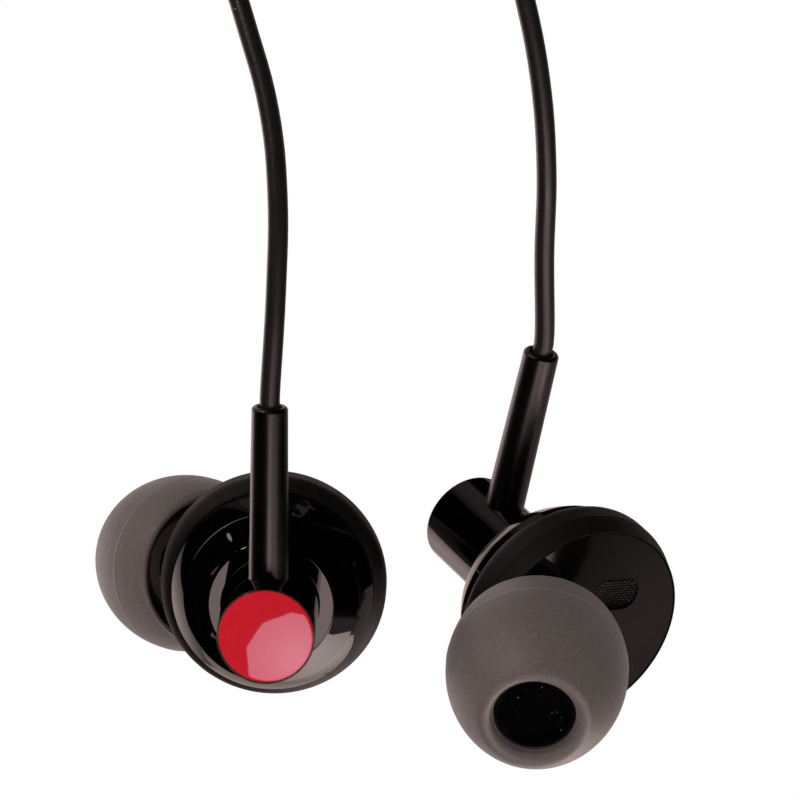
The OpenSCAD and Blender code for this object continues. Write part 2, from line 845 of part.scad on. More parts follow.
left_earpiece() rear_shell();  // rear_shell_left
left_earpiece() end_cap();  // end_cap_left
left_earpiece() stem();  // stem_left
left_earpiece() lead_anchor();  // lead_anchor_left
left_earpiece() front_cover();  // front_cover_left
left_earpiece() soft_ring();  // soft_ring_left
left_earpiece() ear_tip();  // ear_tip_left
left_earpiece() nozzle_mesh();  // nozzle_mesh_left
left_earpiece() vent_mesh();  // vent_mesh_left
left_earpiece() driver_frame();  // driver_frame_left
left_earpiece() diaphragm();  // diaphragm_left
left_earpiece() sound_coil();  // sound_coil_left
left_earpiece() top_plate();  // top_plate_left
left_earpiece() magnet();  // magnet_left
left_earpiece() yoke();  // yoke_left
left_earpiece() terminal_board();  // terminal_board_left
right_earpiece() rear_shell();  // rear_shell_right
right_earpiece() end_cap();  // end_cap_right
right_earpiece() stem();  // stem_right
right_earpiece() lead_anchor();  // lead_anchor_right
right_earpiece() front_cover();  // front_cover_right
right_earpiece() soft_ring();  // soft_ring_right
right_earpiece() ear_tip();  // ear_tip_right
right_earpiece() nozzle_mesh();  // nozzle_mesh_right
right_earpiece() vent_mesh();  // vent_mesh_right
right_earpiece() driver_frame();  // driver_frame_right
right_earpiece() diaphragm();  // diaphragm_right
right_earpiece() sound_coil();  // sound_coil_right
right_earpiece() top_plate();  // top_plate_right
right_earpiece() magnet();  // magnet_right
right_earpiece() yoke();  // yoke_right
right_earpiece() terminal_board();  // terminal_board_right
lead(left_route);  // lead_left
lead(right_route);  // lead_right
wound_cord("left lead", left_coil_path, lead_d);  // lead_coil_left
wound_cord("right lead", right_coil_path, lead_d);  // lead_coil_right
lead(left_end_route);  // lead_end_left
lead(right_end_route);  // lead_end_right
splitter();
main_cord(main_start_route);  // main_start
wound_cord("main cord", main_coil_path, main_d);  // main_coil
main_cord(main_end_route);  // main_end
plug_relief();
plug_handle();
plug_sleeve();
plug_ring();
plug_tip();
plug_insulators();
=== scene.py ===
from math import asin, copysign, cos, floor, pi, radians, sin, sqrt, tau

import bmesh
import bpy
from mathutils import Euler, Matrix, Vector


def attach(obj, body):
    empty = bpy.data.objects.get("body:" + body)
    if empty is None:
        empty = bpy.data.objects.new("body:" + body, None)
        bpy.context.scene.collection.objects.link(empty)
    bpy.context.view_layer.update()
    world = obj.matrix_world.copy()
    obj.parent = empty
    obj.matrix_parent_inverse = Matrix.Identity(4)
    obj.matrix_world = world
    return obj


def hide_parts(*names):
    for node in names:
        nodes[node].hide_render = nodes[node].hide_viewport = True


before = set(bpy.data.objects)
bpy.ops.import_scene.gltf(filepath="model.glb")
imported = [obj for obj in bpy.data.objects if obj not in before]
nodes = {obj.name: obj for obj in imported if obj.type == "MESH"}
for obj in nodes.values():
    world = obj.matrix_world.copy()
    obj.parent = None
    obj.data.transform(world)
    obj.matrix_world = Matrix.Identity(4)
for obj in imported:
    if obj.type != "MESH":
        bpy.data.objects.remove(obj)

scene = bpy.context.scene
scene.view_settings.view_transform = "Standard"
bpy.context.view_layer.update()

# ---------------------------------------------------------------- camera
# A long lens, level with the two earpieces and half a metre in front of them.
camera = bpy.data.objects.new("camera", bpy.data.cameras.new("camera"))
camera.location = (0.002, -0.480, -0.0642)
camera.rotation_euler = (radians(90), 0, 0)
camera.data.sensor_width = 36
camera.data.lens = 306.7
camera.data.clip_start = 0.01
scene.collection.objects.link(camera)
scene.camera = camera

# ---------------------------------------------------------------- rear shells
# Injection-moulded gloss plastic: a band under the soft ring, a rounded shoulder
# with a crisp edge, a flared back, a flat collar and a barrel. Polished tool marks
# leave it slightly wavy, and it picks up a little dust.
mm = 0.001


def stand(at, turn=(0, 0, 0), hand=1):
    """Places a drawing in millimetres; hand is -1 for the mirrored earpiece."""
    rotation = Euler([radians(a) for a in turn]).to_matrix().to_4x4()
    return Matrix.Translation(Vector(at) * mm) @ rotation @ Matrix.Diagonal((hand * mm, mm, mm, 1))


earpieces = {
    "left": stand((-6.9, 5, -76.6), (104, 1, -1)),
    "right": stand((14.8, -3, -80.1), (63, 2.5, -148), hand=-1),
}


def bow(a, b, rise, steps=16):
    """Points from a to b on the arc that stands out by rise, to the left of the way."""
    a, b = Vector(a), Vector(b)
    half = (b - a).length / 2
    side = Vector((a.y - b.y, b.x - a.x)).normalized()
    radius = (half * half + rise * rise) / (2 * abs(rise))
    centre = (a + b) / 2 + side * (rise - copysign(radius, rise))
    sweep = -copysign(2 * asin(half / radius), rise)
    return [tuple(centre + Matrix.Rotation(sweep * k / steps, 2) @ (a - centre)) for k in range(1, steps)]


def turned(outline, steps=160):
    """Spins an outline of (radius, height, fillet) corners about the Z axis; long flats
    are cut close to their ends, so that the fillets' shading stays in the fillets."""
    long_flat, from_end, on_axis_r, merge_gap = 0.25, 0.03, 1e-6, 1e-4
    bm = bmesh.new()
    corners = [bm.verts.new((corner[0], 0, corner[1])) for corner in outline]
    bm.faces.new(corners)
    for vert, corner in zip(corners, outline):
        if len(corner) > 2:
            bmesh.ops.bevel(bm, geom=[vert], offset=corner[2], offset_type="OFFSET", segments=5,
                            profile=0.5, material=-1, affect="VERTICES")
    for flat in [e for e in bm.edges if e.calc_length() > long_flat]:
        for vert in flat.verts[:]:
            bmesh.utils.edge_split(flat, vert, from_end / flat.calc_length())
    bmesh.ops.delete(bm, geom=bm.faces[:], context="FACES_ONLY")
    on_axis = [e for e in bm.edges if max(v.co.x for v in e.verts) < on_axis_r]
    bmesh.ops.delete(bm, geom=on_axis, context="EDGES")
    bmesh.ops.spin(bm, geom=bm.verts[:] + bm.edges[:], cent=(0, 0, 0), axis=(0, 0, 1), angle=tau,
                   steps=steps, use_merge=True, use_duplicate=False)
    bmesh.ops.remove_doubles(bm, verts=bm.verts[:], dist=merge_gap)
    along = bm.verts.layers.float.new("along")
    for vert in bm.verts:
        vert[along] = vert.co.z
    return bm


def piece(name, bm, place, material, body="headset", sharp=32):
    """Makes a drawing an object with its place in its mesh, riding on a body."""
    bmesh.ops.transform(bm, matrix=place, verts=bm.verts[:])
    bmesh.ops.recalc_face_normals(bm, faces=bm.faces[:])
    mesh = bpy.data.meshes.new(name)
    bm.to_mesh(mesh)
    bm.free()
    mesh.shade_smooth()
    mesh.set_sharp_from_angle(angle=radians(sharp))
    mesh.materials.append(material)
    made = bpy.data.objects.new(name, mesh)
    scene.collection.objects.link(made)
    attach(made, body)
    return made


def feed(tree, socket, value):
    """Gives a socket a plain value or another node's output."""
    if isinstance(value, bpy.types.NodeSocket):
        tree.links.new(value, socket)
    else:
        socket.default_value = value


def add(tree, kind, **sockets):
    """Adds a shader node and feeds its sockets by name."""
    made = tree.nodes.new(kind)
    for name, value in sockets.items():
        feed(tree, made.inputs[name.replace("_", " ")], value)
    return made


def maths(tree, operation, a, b=0.0):
    """What one sum makes of plain values or other nodes' outputs."""
    made = tree.nodes.new("ShaderNodeMath")
    made.operation = operation
    feed(tree, made.inputs[0], a)
    feed(tree, made.inputs[1], b)
    return made.outputs[0]


def mixed(tree, factor, a, b):
    """A colour between a, which can be another node's output, and the plain colour b."""
    mix = tree.nodes.new("ShaderNodeMix")
    mix.data_type = "RGBA"
    feed(tree, mix.inputs[0], factor)
    feed(tree, mix.inputs[6], a if isinstance(a, bpy.types.NodeSocket) else (*a, 1))
    feed(tree, mix.inputs[7], (*b, 1))
    return mix.outputs[2]


def effect(name, inputs, outputs):
    """An empty shader group with named float inputs and outputs."""
    tree = bpy.data.node_groups.new(name, "ShaderNodeTree")
    for label, value in inputs.items():
        socket = tree.interface.new_socket(label, in_out="INPUT", socket_type="NodeSocketFloat")
        socket.default_value = value
    for label in outputs:
        tree.interface.new_socket(label, in_out="OUTPUT", socket_type="NodeSocketFloat")
    return tree, tree.nodes.new("NodeGroupInput"), tree.nodes.new("NodeGroupOutput")


# Fine grain from the mould, with slow patches where it is more or less polished.
grain, given, result = effect("mould grain", {"Scale": 5000}, ["Height", "Patches"])
place = add(grain, "ShaderNodeTexCoord").outputs["Object"]
scale = given.outputs["Scale"]
patch_scale = 0.06
fine = add(grain, "ShaderNodeTexNoise", Vector=place, Scale=scale, Detail=4, Roughness=0.6)
slow = maths(grain, "MULTIPLY", scale, patch_scale)
patches = add(grain, "ShaderNodeTexNoise", Vector=place, Scale=slow, Detail=2)
grain.links.new(fine.outputs["Fac"], result.inputs["Height"])
grain.links.new(patches.outputs["Fac"], result.inputs["Patches"])

# Small round specks, most cells empty: loose dust, and on the woven threads painted glints.
dust_and_glint_specks, given, result = effect("dust_and_glint_specks", {"Scale": 3000, "Size": 0.13, "Amount": 0.1}, ["Specks"])
place = add(dust_and_glint_specks, "ShaderNodeTexCoord").outputs["Object"]
cells = add(dust_and_glint_specks, "ShaderNodeTexVoronoi", Vector=place, Scale=given.outputs["Scale"])
near = maths(dust_and_glint_specks, "LESS_THAN", cells.outputs["Distance"], given.outputs["Size"])
draw = add(dust_and_glint_specks, "ShaderNodeSeparateColor", Color=cells.outputs["Color"])
some = maths(dust_and_glint_specks, "LESS_THAN", draw.outputs["Red"], given.outputs["Amount"])
dust_and_glint_specks.links.new(maths(dust_and_glint_specks, "MULTIPLY", near, some), result.inputs["Specks"])


def use(tree, group, **values):
    """Places an effect in a material with its own values."""
    made = tree.nodes.new("ShaderNodeGroup")
    made.node_tree = group
    for name, value in values.items():
        made.inputs[name].default_value = value
    return made


def finish_of(name, colour, rough, grain_scale, depth, dust_and_glint_share=0.0, speck=(0.35, 0.32, 0.30),
              tone=0.12, specular=0.5, metallic=0.0):
    """A moulded finish: grain per metre and its depth in mm, a roughness that wanders
    between two values, a share of cells with a speck, which is dust and on the woven threads a painted
    glint, and the grain's contrast."""
    material = bpy.data.materials.new(name)
    material.use_nodes = True
    tree = material.node_tree
    surface = tree.nodes["Principled BSDF"]
    surface.inputs["Specular IOR Level"].default_value = specular
    surface.inputs["Metallic"].default_value = metallic
    mould = use(tree, grain, Scale=grain_scale)
    bump = add(tree, "ShaderNodeBump", Height=mould.outputs["Height"], Distance=depth * mm, Strength=1.0)
    tree.links.new(bump.outputs[0], surface.inputs["Normal"])
    wander = add(tree, "ShaderNodeMapRange", Value=mould.outputs["Patches"],
                 From_Min=0.3, From_Max=0.7, To_Min=rough[0], To_Max=rough[1])
    tree.links.new(wander.outputs[0], surface.inputs["Roughness"])
    light, dark = [c * (1 + tone) for c in colour], [c * (1 - tone) for c in colour]
    shade = mixed(tree, mould.outputs["Height"], dark, light)
    # Specks of a lighter colour: dust, and on the woven threads painted glints.
    if dust_and_glint_share:
        specks = use(tree, dust_and_glint_specks, Amount=dust_and_glint_share)
        shade = mixed(tree, specks.outputs["Specks"], shade, speck)
    tree.links.new(shade, surface.inputs["Base Color"])
    return material


gloss_black = finish_of("gloss black plastic", (0.0008, 0.0006, 0.0005), (0.02, 0.05), 900, 0.0006,
                        dust_and_glint_share=0.004)

cover_back = 1.05
band_r, band_z = 7.1, 4.8
edge = (6.15, 6.40)
foot = (4.45, 8.1)
barrel_r, barrel_end = 3.4, 16.2
cap_seat_r, cap_seat_z = 3.30, 15.68
bore_r, bore_z = 2.7, 7.3
hollow_r, hollow_z = 6.3, 4.65
shell_outline = [
    (band_r, cover_back), (band_r, band_z), *bow((band_r, band_z), edge, rise=-0.03), (*edge, 0.08),
    *bow(edge, foot, rise=0.03), (*foot, 0.12), (barrel_r, foot[1], 0.10), (barrel_r, barrel_end, 0.06),
    (cap_seat_r, barrel_end, 0.02), (cap_seat_r, cap_seat_z), (bore_r, cap_seat_z), (bore_r, bore_z),
    (hollow_r, hollow_z), (hollow_r, cover_back),
]
for side, stands in earpieces.items():
    shell = piece(f"shell_{side}", turned(shell_outline), stands, gloss_black, sharp=24)
    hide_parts(f"rear_shell_{side}")

# ---------------------------------------------------------------- end caps
# A thin domed disc of red gloss plastic, pressed into the barrel's mouth with a snap
# ring behind it. It closes the housing and marks the pair with its colour.
red_plastic = finish_of("red gloss plastic", (0.56, 0.014, 0.025), (0.02, 0.04), 900, 0.0003,
                        dust_and_glint_share=0.002, speck=(0.8, 0.35, 0.38), tone=0.04, specular=0.8)
surface = red_plastic.node_tree.nodes["Principled BSDF"]
surface.inputs["Specular Tint"].default_value = (0.60, 0.75, 1.0, 1)
cap_base, cap_r, cap_rise = 15.7, 3.28, 0.15
snap_inner_r, snap_outer_r, snap_end = 2.08, 2.68, 15.1
cap_top = (0, barrel_end + cap_rise)
cap_outline = [
    (0, cap_base), (snap_inner_r, cap_base), (snap_inner_r, snap_end), (snap_outer_r, snap_end),
    (snap_outer_r, cap_base), (cap_r, cap_base), (cap_r, barrel_end, 0.07),
    *bow((cap_r, barrel_end), cap_top, rise=-0.04), cap_top,
]
for side, stands in earpieces.items():
    cap = piece(f"cap_{side}", turned(cap_outline), stands, red_plastic)
    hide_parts(f"end_cap_{side}")

# ---------------------------------------------------------------- stems
# A straight tapered strain relief in satin plastic, pinned into the barrel's side.
# Its mouth is rolled over, with a small flare where the lead comes out.
satin_black = finish_of("satin black plastic", (0.0008, 0.0006, 0.0005), (0.26, 0.32), 3400, 0.004,
                        dust_and_glint_share=0.010, tone=0.3, specular=0.75)
stem_z, stem_foot, stem_l = 12.3, 2.8, 15.4
stem_foot_r, stem_mouth_r = 1.39, 1.26
lead_hole_r, flare_r, flare_start = 0.75, 0.88, 14.8
stem_outline = [
    (lead_hole_r, stem_foot), (stem_foot_r, stem_foot), (stem_mouth_r, stem_l, 0.25),
    (flare_r, stem_l, 0.12), (lead_hole_r, flare_start),
]
on_stem = Matrix.Translation((0, 0, stem_z)) @ Matrix.Rotation(radians(-90), 4, "X")
for side, stands in earpieces.items():
    stem = piece(f"stem_tube_{side}", turned(stem_outline, steps=64), stands @ on_stem, satin_black)
    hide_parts(f"stem_{side}")

# ---------------------------------------------------------------- soft rings
# A rubber ring stretched over the housing's band and the front cover's rim. Its rear
# edge is rounded and its front slopes in; the surface is dull and slightly grainy.
ring_rubber = finish_of("dull black rubber", (0.0036, 0.0026, 0.0022), (0.50, 0.62), 8000, 0.022,
                        dust_and_glint_share=0.03, speck=(0.05, 0.042, 0.038), tone=0.7, specular=0.3)
ring_r, ring_w = 8.0, 4.0
rim_seat_r, band_seat_r, seat_step = 7.5, 7.12, 1.07
round_start, round_end = (ring_r, 2.7), (band_seat_r, ring_w)
ring_outline = [
    (rim_seat_r, 0), (7.54, 0, 0.02), (7.96, 1.26, 0.05), (7.94, 1.40, 0.02), (ring_r, 1.5, 0.06),
    round_start, *bow(round_start, round_end, rise=-0.22), (*round_end, 0.03),
    (band_seat_r, seat_step), (rim_seat_r, seat_step),
]
for side, stands in earpieces.items():
    ring = piece(f"ring_{side}", turned(ring_outline, steps=192), stands, ring_rubber)
    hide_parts(f"soft_ring_{side}")

# ---------------------------------------------------------------- front covers
# The satin front disc and its angled nozzle are one moulding, closing the housing.
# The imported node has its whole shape, so it is shown itself.
cover_plastic = finish_of("satin cover plastic", (0.0022, 0.0017, 0.0015), (0.06, 0.10), 4200, 0.0008,
                          dust_and_glint_share=0.006, tone=0.2)


def dress(node, material):
    """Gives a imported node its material."""
    for slot in nodes[node].material_slots:
        slot.material = material


for side in earpieces:
    dress(f"front_cover_{side}", cover_plastic)

# ---------------------------------------------------------------- vent and nozzle meshes
# Dark synthetic cloth in a plain weave, laid on a ledge in the oblong vent and in the
# nozzle's mouth. It keeps dust out of the driver; the light specks on its threads are painted glints.
# The nozzle's near-black cloth is dark cloth made darker still, as painted shade deep in the nozzle's
# mouth; the light specks on both cloths are painted glints.
dark_thread_with_painted_shade = finish_of("woven dark thread", (0.0005, 0.0004, 0.0004), (0.16, 0.28), 9000, 0.002,
                        dust_and_glint_share=0.16, speck=(0.34, 0.30, 0.28), specular=0.06)
shiny_thread = finish_of("woven glossy thread", (0.004, 0.003, 0.003), (0.10, 0.18), 9000, 0.002,
                         dust_and_glint_share=0.30, speck=(0.42, 0.35, 0.33), specular=0.22)
thread_d, thread_pitch, thread_lift = 0.085, 0.20, 0.05


def weave(name, place, height, straight, end_r, turn, thread):
    """Threads over and under each other, cut to an oblong with round ends; straight is
    half of its straight side, and turn lays the threads askew to it."""
    cloth = bpy.data.curves.new(name, "CURVE")
    cloth.dimensions = "3D"
    cloth.bevel_depth = thread_d / 2 * mm
    cloth.bevel_resolution = 1
    count = floor((straight + end_r) / thread_pitch)
    for crosswise in (False, True):
        for i in range(-count, count + 1):
            line = (i + 0.5) * thread_pitch
            past = max(abs(line) - straight, 0) if crosswise else abs(line)
            if past >= end_r - thread_d:
                continue
            reach = sqrt(end_r ** 2 - past ** 2) + (0 if crosswise else straight)
            steps = max(2, round(4 * reach / thread_pitch))
            laid = cloth.splines.new("POLY")
            laid.points.add(steps)
            for j, point in enumerate(laid.points):
                along = reach * (2 * j / steps - 1)
                lift = thread_lift * cos(pi * (along / thread_pitch - 0.5 + i + crosswise))
                local = (line, along, height + lift) if crosswise else (along, line, height + lift)
                point.co = (*(place @ Matrix.Rotation(turn, 4, "Z") @ Vector(local)), 1)
    cloth.materials.append(thread)
    made = bpy.data.objects.new(name, cloth)
    scene.collection.objects.link(made)
    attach(made, "headset")
    return made


nozzle_tilt, nozzle_turn, nozzle_offset, nozzle_end = 32, 11, 3.65, 10.9
on_nozzle = (Matrix.Translation((-nozzle_offset, 0, 0)) @ Matrix.Rotation(radians(nozzle_turn), 4, "Z")
             @ Matrix.Rotation(radians(180 + nozzle_tilt), 4, "Y"))
on_vent = Matrix.Translation((1.7, 2.8, 0))
for side, stands in earpieces.items():
    vent_cloth = weave(f"vent_cloth_{side}", stands @ on_vent, height=-0.35, straight=0.7, end_r=1.18,
                       turn=0.0, thread=shiny_thread)
    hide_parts(f"vent_mesh_{side}")
    nozzle_cloth = weave(f"nozzle_cloth_{side}", stands @ on_nozzle, height=nozzle_end - 0.1, straight=0,
                         end_r=2.38, turn=0.6, thread=dark_thread_with_painted_shade)
    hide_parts(f"nozzle_mesh_{side}")

# ---------------------------------------------------------------- ear tips
# Moulded silicone: a thin dome with a rolled lip at the sound hole, over a sleeve
# that grips the nozzle. The mould parts ahead of the skirt and leaves a fine line.
tip_rim, tip_end, tip_wall, lip_r, hole_r = 1.8, 11.7, 0.6, 0.6, 2.9
widest_r, widest_z = 6.325, 5.3
sleeve_bore_r, sleeve_r, sleeve_foot, sleeve_head = 2.85, 3.65, 4.3, 11.0
cavity_end, rim_r = 9.7, 0.25
lip_r_at, lip_z = hole_r + lip_r, tip_end - lip_r
rise, reach = lip_z - widest_z, widest_r - lip_r - lip_r_at
dome_r = lip_r + (rise * rise + reach * reach) / (2 * reach)
dome_x = widest_r - dome_r
part_line, part_half_w, part_rise = 4.76, 0.05, 0.02


def between(start, stop, steps):
    """Even steps from start to stop, with both of them."""
    return [start + (stop - start) * k / steps for k in range(steps + 1)]


def on_dome(radius, height, rise=0.0):
    """The dome's point at a height, outside or inside its wall."""
    return dome_x + sqrt(radius * radius - (height - widest_z) ** 2) + rise, height


def round_to(centre, radius, start, stop, steps):
    """Points on a circle from one angle to another, in degrees."""
    angles = [radians(angle) for angle in between(start, stop, steps)]
    return [(centre[0] + radius * cos(a), centre[1] + radius * sin(a)) for a in angles]


rim_z = tip_rim + rim_r
outside = [on_dome(dome_r, z) for z in between(rim_z, part_line, 10)[:-1]]
ridge = [on_dome(dome_r, part_line - part_half_w), on_dome(dome_r, part_line, part_rise),
         on_dome(dome_r, part_line + part_half_w)]
to_lip = round_to((dome_x, widest_z), dome_r, -2, 41.2, 24)
over_lip = round_to((lip_r_at, lip_z), lip_r, 42, 180, 14)
within = [
    (hole_r, sleeve_head), (sleeve_bore_r, sleeve_head), (sleeve_bore_r, sleeve_foot),
    (sleeve_r, sleeve_foot), (sleeve_r, cavity_end, 0.3),
]
under = [on_dome(dome_r - tip_wall, z) for z in between(cavity_end, rim_z, 16)]
rim_x = on_dome(dome_r, tip_rim)[0] - rim_r
rim = round_to((rim_x, rim_z), rim_r, 180, 350, 7)
tip_outline = [*outside, *ridge, *to_lip, *over_lip, *within, *under, *rim]

silicone = finish_of("grey brown silicone", (0.108, 0.085, 0.079), (0.46, 0.54), 5200, 0.006,
                     dust_and_glint_share=0.03, speck=(0.20, 0.17, 0.16), tone=0.55, specular=0.6)
tree = silicone.node_tree
surface = tree.nodes["Principled BSDF"]
surface.inputs["Subsurface Weight"].default_value = 0.15
surface.inputs["Subsurface Scale"].default_value = 0.6 * mm
surface.inputs["Sheen Weight"].default_value = 0.15
surface.inputs["Sheen Roughness"].default_value = 0.4
height = add(tree, "ShaderNodeAttribute")
height.attribute_name = "along"
from_line = maths(tree, "ABSOLUTE", maths(tree, "SUBTRACT", height.outputs["Fac"], part_line))
on_line = add(tree, "ShaderNodeMapRange", Value=from_line, From_Min=0.02, From_Max=0.06, To_Min=0.8,
              To_Max=0.0)
plain = surface.inputs["Base Color"].links[0].from_socket
lined = mixed(tree, on_line.outputs[0], plain, (0.24, 0.20, 0.19))
tree.links.new(lined, surface.inputs["Base Color"])

for side, stands in earpieces.items():
    tip = piece(f"tip_silicone_{side}", turned(tip_outline), stands @ on_nozzle, silicone,
                body=f"tip_{side}", sharp=50)
    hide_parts(f"ear_tip_{side}")

# ---------------------------------------------------------------- drivers
# A small loudspeaker fills the housing: plastic frame, film, copper coil, steel plate,
# magnet, steel cup and a solder board. All of it stays out of sight.
inside = {
    "driver_frame": finish_of("frame plastic", (0.03, 0.03, 0.035), (0.45, 0.6), 4000, 0.004),
    "diaphragm": finish_of("clear film", (0.55, 0.52, 0.47), (0.15, 0.25), 1500, 0.002),
    "sound_coil": finish_of("enamelled copper", (0.60, 0.26, 0.12), (0.25, 0.35), 9000, 0.004,
                            metallic=1.0),
    "top_plate": finish_of("pressed steel", (0.45, 0.46, 0.47), (0.28, 0.4), 5000, 0.002, metallic=1.0),
    "magnet": finish_of("plated magnet", (0.62, 0.63, 0.65), (0.15, 0.22), 3000, 0.001, metallic=1.0),
    "yoke": finish_of("pressed steel cup", (0.42, 0.43, 0.44), (0.28, 0.4), 5000, 0.002, metallic=1.0),
    "terminal_board": finish_of("green solder mask", (0.03, 0.15, 0.06), (0.3, 0.4), 3000, 0.002),
}
for name, material in inside.items():
    for side in earpieces:
        dress(f"{name}_{side}", material)

# ---------------------------------------------------------------- leads and main cord
# Black satin sheath round a few fine strands. Each lead rises from its stem to the
# bundle on the peg, winds there in two layers and ends in the splitter. The main cord
# leaves the splitter in a loop and winds in four layers behind them, up to the plug.
sheath = finish_of("black cord sheath", (0.0090, 0.0070, 0.0062), (0.34, 0.42), 4200, 0.006,
                   dust_and_glint_share=0.006, tone=0.45, specular=0.8)
for side in earpieces:
    dress(f"lead_anchor_{side}", sheath)

lead_d, main_d, wire_gap = 1.4, 2.0, 0.45
lead_pitch, main_pitch = lead_d + wire_gap, main_d + wire_gap
main_turns, main_layers = 12.25, 4
lead_coil_r, main_coil_r = 12.5, 14.6
coil_z = main_d / 2 - (main_coil_r - main_turns / main_layers * main_pitch)
first_y = -9
lead_y = [first_y + i * lead_pitch for i in range(4)]
main_y = lead_y[3] + (lead_d + main_d) / 2 + wire_gap
splitter_at = Vector((15.9, (lead_y[1] + lead_y[2]) / 2, -4.5))
splitter_l, relief_l = 8.0, 7.0
plug_at = Vector((9, main_y + (main_layers - 1) * main_pitch, coil_z + main_coil_r))


def wound(start, turns, layers, outer_r, y, step, d):
    """Loops that spiral in and out again, a layer further on each time; the first and
    last points lead in and out of them, start is in degrees and step is from layer to layer."""
    per_turn, crossing = 24, 0.5
    a_layer = turns / layers
    count = round(turns * per_turn)
    loops = []
    for i in range(count + 1):
        done = turns * i / count
        layer = min(floor(done / a_layer), layers - 1)
        part = done / a_layer - layer
        r = outer_r - a_layer * abs(step) * (part if layer % 2 == 0 else 1 - part)
        climbed = sum(min(max((done - a_layer * k) / crossing + 0.5, 0), 1) for k in range(1, layers))
        a = radians(start - 360 * done)
        loops.append(Vector((r * cos(a), y + climbed * step, coil_z + r * sin(a))))
    first, last = radians(start), radians(start - 360 * turns)
    before = loops[0] - Vector((sin(first), 0, -cos(first))) * d
    after = loops[-1] + Vector((sin(last), 0, -cos(last))) * d
    return [before, *loops, after]


def laid_cord(name, route, d):
    """One smooth open curve through the route, as thick as the cord."""
    curve = bpy.data.curves.new(name, "CURVE")
    curve.dimensions = "3D"
    curve.bevel_depth = d / 2 * mm
    curve.bevel_resolution = 5
    curve.resolution_u = 6
    curve.use_fill_caps = True
    line = curve.splines.new("BEZIER")
    line.bezier_points.add(len(route) - 1)
    for knot, point in zip(line.bezier_points, route):
        knot.co = Vector(point) * mm
        knot.handle_left_type = knot.handle_right_type = "AUTO"
    curve.materials.append(sheath)
    made = bpy.data.objects.new(name, curve)
    scene.collection.objects.link(made)
    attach(made, "headset")
    return made


def to_splitter(end, way, y):
    """A lead's last stretch, from its winding down into the splitter."""
    return [end + way * lead_d, (10.9, y, 3.0), (14.3, y, 0.6),
            (splitter_at.x, y, splitter_at.z + lead_d), (splitter_at.x, y, splitter_at.z)]


# Each lead's way from its stem up to its winding.
hung = {
    "left": [(-6.5, -12.2, -56.5), (-6.4, -12.4, -50.2), (-7.0, -11.6, -44.3), (-8.7, -10.2, -38.0),
             (-10.7, -8.2, -31.5), (-11.9, -6.1, -25.0), (-12.4, -4.4, -18.2), (-12.5, -3.5, -11.8)],
    "right": [(12.1, -3.2, -54.0), (12.2, -5.6, -48.0), (11.7, -7.3, -41.8), (10.5, -8.4, -35.8),
              (9.1, -9.0, -30.6), (7.2, -9.1, -25.6), (4.4, -9.0, -20.9)],
}
coils = {
    "left": wound(start=180, turns=3 + 110 / 360, layers=2, outer_r=lead_coil_r, y=lead_y[3],
                  step=-lead_pitch, d=lead_d),
    "right": wound(start=270, turns=3 + 200 / 360, layers=2, outer_r=lead_coil_r, y=lead_y[0],
                   step=lead_pitch, d=lead_d),
}
ends_y = {"left": lead_y[2], "right": lead_y[1]}
leads, mouths = {}, {}
for side, stands in earpieces.items():
    mouth = stands @ Vector((0, stem_l, stem_z)) / mm
    out = (stands.to_3x3() @ Vector((0, 1, 0))).normalized()
    wind = coils[side]
    into = (wind[0] - wind[1]).normalized()
    away = (wind[-1] - wind[-2]).normalized()
    route = [mouth, mouth + out * lead_d / 2, *hung[side], wind[0] + into * lead_d, *wind,
             *to_splitter(wind[-1], away, ends_y[side])]
    mouths[side] = [c * mm for c in mouth]
    leads[side] = laid_cord(f"lead_{side}_cord", route, lead_d)
    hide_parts(f"lead_{side}", f"lead_coil_{side}", f"lead_end_{side}")

splitter_exit = splitter_at - Vector((0, 0, splitter_l + relief_l / 2))
wind = wound(start=180, turns=main_turns, layers=main_layers, outer_r=main_coil_r, y=main_y,
             step=main_pitch, d=main_d)
route = [splitter_exit, splitter_exit - Vector((0, 0, main_d)),
         (14.6, -5.9, -22.2), (11.2, -4.9, -26.4), (6.3, -3.6, -29.2), (0.8, -2.4, -30.0),
         (-4.9, -1.6, -28.6), (-9.6, -1.3, -25.2), (-12.8, -1.3, -20.0), (-14.3, -1.3, -14.6),
         wind[0] - Vector((0, 0, main_d)), *wind, (wind[-1] + plug_at) / 2, plug_at]
main_cord = laid_cord("main_cord", route, main_d)
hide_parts("main_start", "main_coil", "main_end")

# ---------------------------------------------------------------- splitter
# A small soft-moulded block where the two leads join the main cord, with round long
# edges and a grooved sleeve at its lower end.
soft_moulding = finish_of("soft black moulding", (0.0060, 0.0048, 0.0042), (0.42, 0.52), 4200, 0.005,
                          dust_and_glint_share=0.01, tone=0.2)


def grooved(length, start_r, end_r, grooves, deep):
    """Outline of a tapered sleeve with grooves that let it bend; lands and grooves are
    given as shares of one step along it."""
    land, groove_start, groove_end, land_fillet = 0.62, 0.66, 0.96, 0.08
    outline = [(0, 0)]
    for i in range(grooves + 1):
        for step in (i, i + land):
            t = step / (grooves + land)
            outline.append((start_r + (end_r - start_r) * t, length * t, land_fillet))
        if i < grooves:
            for step in (i + groove_start, i + groove_end):
                t = step / (grooves + land)
                outline.append((start_r + (end_r - start_r) * t - deep, length * t))
    return [*outline, (0, length)]


def rounded(bm, edges, radius, segments):
    """Rounds some edges of a drawing."""
    bmesh.ops.bevel(bm, geom=edges, offset=radius, offset_type="OFFSET", segments=segments, profile=0.5,
                    material=-1, affect="EDGES")


